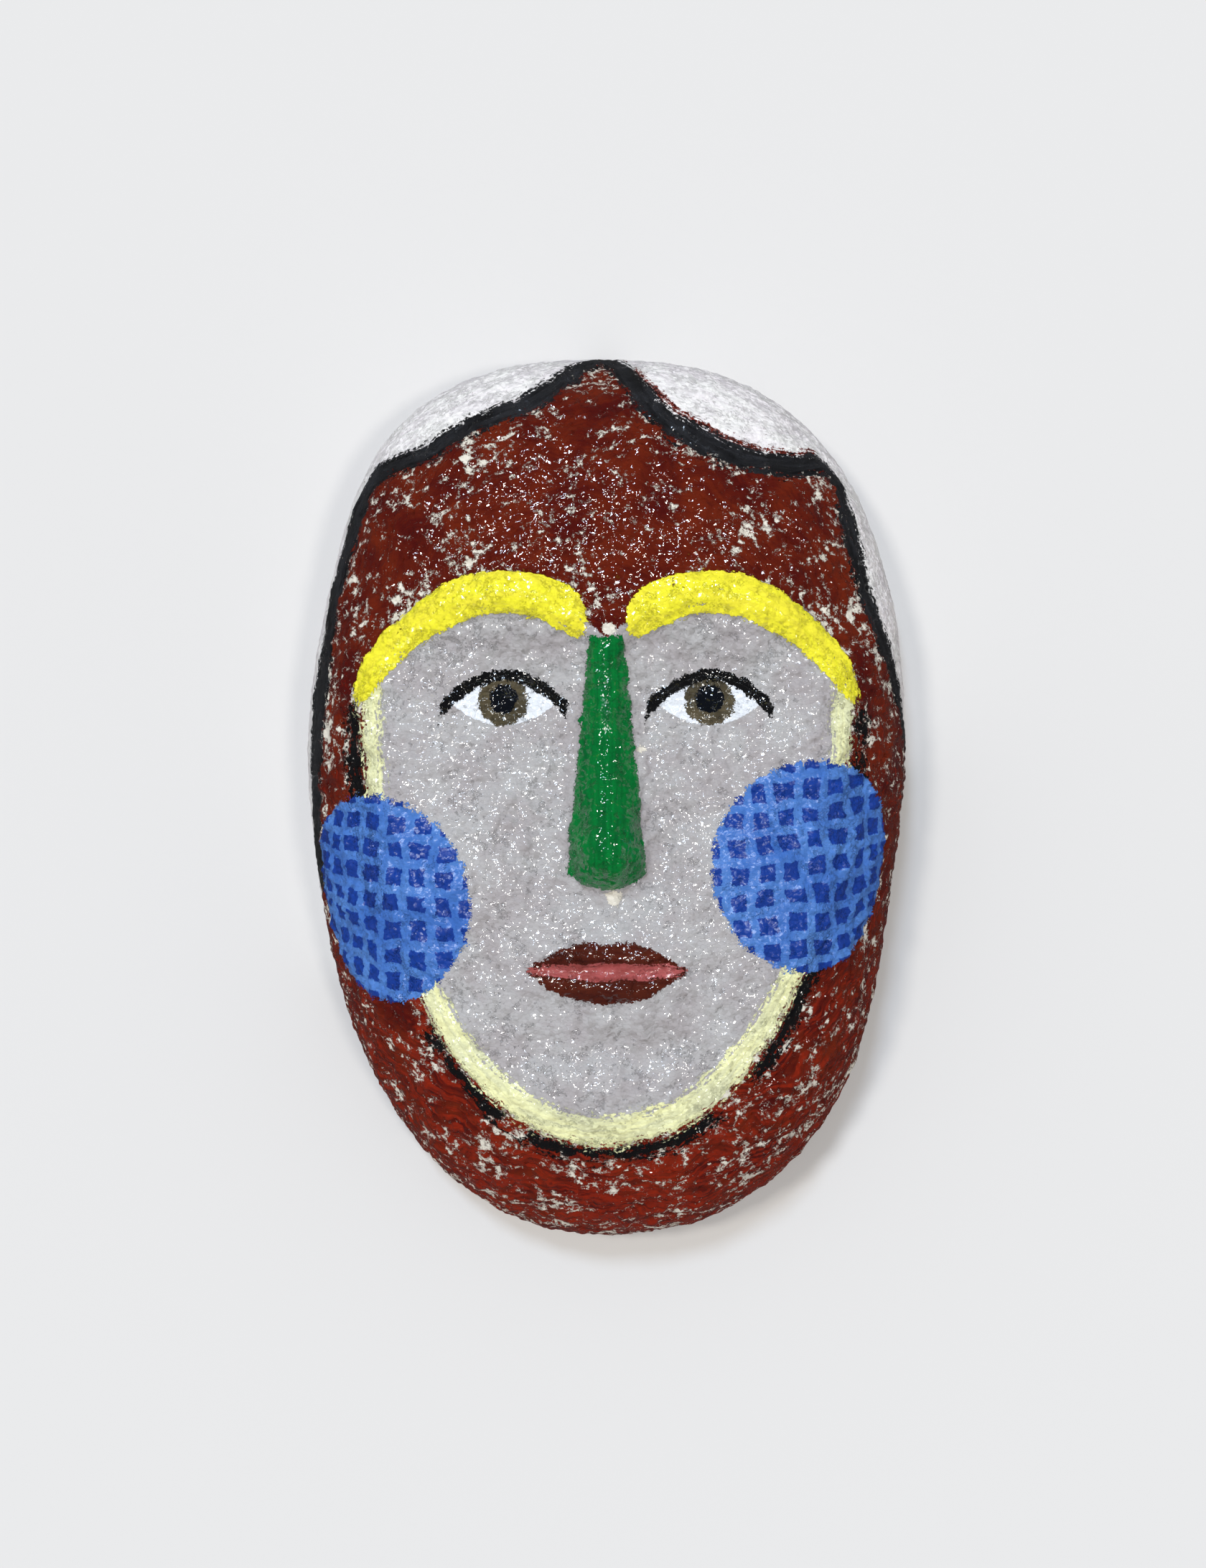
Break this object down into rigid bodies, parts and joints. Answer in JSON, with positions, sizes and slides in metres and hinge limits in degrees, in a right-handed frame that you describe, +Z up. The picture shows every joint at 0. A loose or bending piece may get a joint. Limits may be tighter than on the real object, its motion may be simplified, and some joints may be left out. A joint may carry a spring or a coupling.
{
  "type": "mask",
  "caption": "Painted papier-mache face mask with a domed front, a long built-up nose and an open hollow behind, resting on its flat rim.",
  "frame": {"origin": "on the ground under the middle of the mask, which lies face up on its rim", "axes": "+X across the face to the picture's right, +Y from the chin to the crown, +Z up out of the face"},
  "size_m": [0.1978, 0.2898, 0.0901],
  "materials": {
    "painted_paper": "satin paint on rough paper pulp, in red-brown with a grey face"
  },
  "bodies": {
    "root": {"mask": "painted_paper"}
  },
  "joints": []
}
